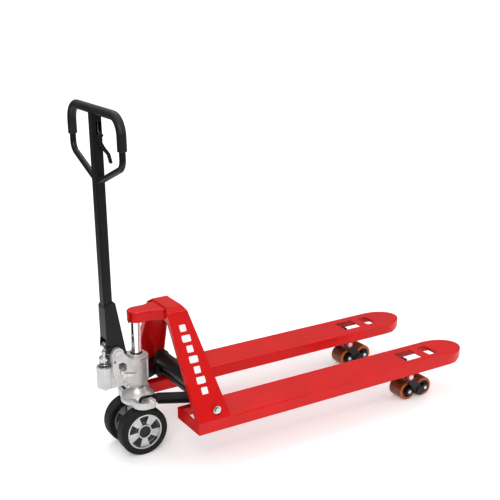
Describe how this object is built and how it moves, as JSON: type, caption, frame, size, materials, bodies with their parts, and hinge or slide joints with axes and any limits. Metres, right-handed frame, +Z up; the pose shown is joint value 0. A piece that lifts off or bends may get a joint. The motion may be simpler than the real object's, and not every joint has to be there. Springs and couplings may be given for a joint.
{
  "type": "hand pallet truck",
  "caption": "Hand pallet truck with two long forks, a hydraulic lifting pump, a tilting steering handle with a loop grip, twin steer wheels and tandem load rollers",
  "frame": {"origin": "on the floor under the middle of the outline, with the forks raised and the handle upright", "axes": "X points from the handle to the fork tips, Y to the left and Z up"},
  "size_m": [1.514, 0.55, 1.2492],
  "materials": {
    "red_paint": "gloss powder coat on folded steel sheet",
    "black_paint": "satin black powder coat",
    "silver_casting": "silver paint over a cast iron surface",
    "zinc_steel": "zinc plated or ground steel",
    "chrome_rod": "polished hard chrome",
    "tyre_rubber": "solid rubber tyre",
    "aluminium": "die cast wheel centre",
    "polyurethane": "cast polyurethane tread",
    "black_hub": "black",
    "grip_rubber": "moulded rubber sleeve"
  },
  "bodies": {
    "carrier": {"carrier_casting": "silver_casting", "carrier_pins": "zinc_steel", "thrust_bearing": "zinc_steel"},
    "frame": {"fork_blade_left": "red_paint", "fork_blade_right": "red_paint", "fork_heel_left": "red_paint", "fork_heel_right": "red_paint", "leg_left": "red_paint", "leg_right": "red_paint", "head_saddle": "red_paint", "head_tongue": "red_paint", "head_gussets": "red_paint", "piston_rod": "chrome_rod", "rocker_shaft": "zinc_steel", "frame_bolts": "zinc_steel", "link_pins": "zinc_steel"},
    "rocker": {"rocker_arm_left": "black_paint", "rocker_arm_right": "black_paint", "torsion_tube": "black_paint", "rocker_cranks": "black_paint", "crank_pins": "zinc_steel"},
    "rod_left": {"push_rod_left": "black_paint"},
    "link_left": {"roller_link_left": "black_paint"},
    "pin_left": {"bogie_pin_left": "black_paint"},
    "bogie_left": {"bogie_plates_left": "black_paint", "roller_axles_left": "zinc_steel"},
    "roller_rear_left": {"roller_tyre_rear_left": "polyurethane", "roller_hub_rear_left": "black_hub"},
    "roller_front_left": {"roller_tyre_front_left": "polyurethane", "roller_hub_front_left": "black_hub"},
    "rod_right": {"push_rod_right": "black_paint"},
    "link_right": {"roller_link_right": "black_paint"},
    "pin_right": {"bogie_pin_right": "black_paint"},
    "bogie_right": {"bogie_plates_right": "black_paint", "roller_axles_right": "zinc_steel"},
    "roller_rear_right": {"roller_tyre_rear_right": "polyurethane", "roller_hub_rear_right": "black_hub"},
    "roller_front_right": {"roller_tyre_front_right": "polyurethane", "roller_hub_front_right": "black_hub"},
    "pump": {"pump_casting": "silver_casting", "cylinder_cap": "silver_casting", "pump_screws": "zinc_steel", "steer_axle": "zinc_steel", "axle_caps": "black_hub", "steer_bearings": "zinc_steel"},
    "wheel_left": {"wheel_tyre_left": "tyre_rubber", "wheel_hub_left": "aluminium"},
    "wheel_right": {"wheel_tyre_right": "tyre_rubber", "wheel_hub_right": "aluminium"},
    "handle": {"handle_bracket": "black_paint", "handle_tube": "black_paint", "handle_loop": "black_paint", "loop_grip": "grip_rubber", "handle_pins": "zinc_steel"},
    "press": {"press_roller": "zinc_steel"},
    "plunger_set": {"plunger": "zinc_steel", "plunger_spring": "zinc_steel"},
    "release": {"release_lever": "zinc_steel"},
    "lever": {"control_lever": "black_paint"},
    "pull": {"pull_rod": "zinc_steel"}
  },
  "joints": [
    {"name": "lift", "type": "slide", "parent": "carrier", "child": "frame", "axis": [0, 0, 1], "range_m": [-0.09, 0.015]},
    {"name": "rocker_swing", "type": "hinge", "parent": "frame", "child": "rocker", "pos_m": [-0.427, 0, 0.203], "axis": [0, 1, 0], "range_deg": [-5.02, 28.64]},
    {"name": "rod_swing_left", "type": "hinge", "parent": "rocker", "child": "rod_left", "pos_m": [-0.40991, 0.195, 0.1353], "axis": [0, 1, 0], "range_deg": [-28.64, 5.02]},
    {"name": "link_swing_left", "type": "hinge", "parent": "frame", "child": "link_left", "pos_m": [0.451, 0.195, 0.119], "axis": [0, 1, 0], "range_deg": [-56.99, 9.75]},
    {"name": "bogie_level_left", "type": "hinge", "parent": "link_left", "child": "pin_left", "pos_m": [0.515, 0.195, 0.038], "axis": [0, 1, 0], "range_deg": [-9.75, 56.99]},
    {"name": "bogie_rock_left", "type": "hinge", "parent": "pin_left", "child": "bogie_left", "pos_m": [0.515, 0.195, 0.038], "axis": [0, 1, 0], "range_deg": [-10, 10]},
    {"name": "roller_spin_rear_left", "type": "hinge", "parent": "bogie_left", "child": "roller_rear_left", "pos_m": [0.474, 0.195, 0.038], "axis": [0, 1, 0], "continuous": true},
    {"name": "roller_spin_front_left", "type": "hinge", "parent": "bogie_left", "child": "roller_front_left", "pos_m": [0.556, 0.195, 0.038], "axis": [0, 1, 0], "continuous": true},
    {"name": "rod_swing_right", "type": "hinge", "parent": "rocker", "child": "rod_right", "pos_m": [-0.40991, -0.195, 0.1353], "axis": [0, 1, 0], "range_deg": [-28.64, 5.02]},
    {"name": "link_swing_right", "type": "hinge", "parent": "frame", "child": "link_right", "pos_m": [0.451, -0.195, 0.119], "axis": [0, 1, 0], "range_deg": [-56.99, 9.75]},
    {"name": "bogie_level_right", "type": "hinge", "parent": "link_right", "child": "pin_right", "pos_m": [0.515, -0.195, 0.038], "axis": [0, 1, 0], "range_deg": [-9.75, 56.99]},
    {"name": "bogie_rock_right", "type": "hinge", "parent": "pin_right", "child": "bogie_right", "pos_m": [0.515, -0.195, 0.038], "axis": [0, 1, 0], "range_deg": [-10, 10]},
    {"name": "roller_spin_rear_right", "type": "hinge", "parent": "bogie_right", "child": "roller_rear_right", "pos_m": [0.474, -0.195, 0.038], "axis": [0, 1, 0], "continuous": true},
    {"name": "roller_spin_front_right", "type": "hinge", "parent": "bogie_right", "child": "roller_front_right", "pos_m": [0.556, -0.195, 0.038], "axis": [0, 1, 0], "continuous": true},
    {"name": "steering", "type": "hinge", "parent": "carrier", "child": "pump", "pos_m": [-0.605, 0, 0.09], "axis": [0, 0, 1], "range_deg": [-90, 90]},
    {"name": "wheel_spin_left", "type": "hinge", "parent": "pump", "child": "wheel_left", "pos_m": [-0.619, 0.058, 0.09], "axis": [0, 1, 0], "continuous": true},
    {"name": "wheel_spin_right", "type": "hinge", "parent": "pump", "child": "wheel_right", "pos_m": [-0.619, -0.058, 0.09], "axis": [0, 1, 0], "continuous": true},
    {"name": "handle_tilt", "type": "hinge", "parent": "pump", "child": "handle", "pos_m": [-0.693, 0, 0.391], "axis": [0, -1, 0], "range_deg": [0, 62], "stiffness_Nm_per_rad": 60, "springref_deg": -2.86},
    {"name": "plunger_stroke", "type": "slide", "parent": "pump", "child": "plunger_set", "axis": [0, 0, 1], "range_m": [-0.03191, 0], "deforming": ["plunger_spring"]},
    {"name": "press_roller_spin", "type": "hinge", "parent": "handle", "child": "press", "pos_m": [-0.7173, 0, 0.41368], "axis": [0, 1, 0], "continuous": true},
    {"name": "control_lever", "type": "hinge", "parent": "handle", "child": "lever", "pos_m": [-0.72193, -0.026, 1.14969], "axis": [0, -1, 0], "range_deg": [-12, 25]},
    {"name": "pull_rod_slide", "type": "slide", "parent": "handle", "child": "pull", "axis": [-0.0131, 0, 0.9999], "range_m": [-0.00271, 0.00544]},
    {"name": "release_lever", "type": "hinge", "parent": "pump", "child": "release", "pos_m": [-0.673, -0.048, 0.308], "axis": [0, -1, 0], "range_deg": [-6.2, 12.8]}
  ],
  "couplings": [
    {"joint": "rocker_swing", "follows": "lift", "rad_per_m": -5.4955},
    {"joint": "rod_swing_left", "follows": "lift", "rad_per_m": 5.4955},
    {"joint": "link_swing_left", "follows": "lift", "rad_per_m": 10.993},
    {"joint": "bogie_level_left", "follows": "lift", "rad_per_m": -10.993},
    {"joint": "rod_swing_right", "follows": "lift", "rad_per_m": 5.4955},
    {"joint": "link_swing_right", "follows": "lift", "rad_per_m": 10.993},
    {"joint": "bogie_level_right", "follows": "lift", "rad_per_m": -10.993},
    {"joint": "plunger_stroke", "follows": "handle_tilt", "m_per_rad": -0.0293},
    {"joint": "pull_rod_slide", "follows": "control_lever", "m_per_rad": 0.012},
    {"joint": "release_lever", "follows": "control_lever", "ratio": 0.5}
  ]
}
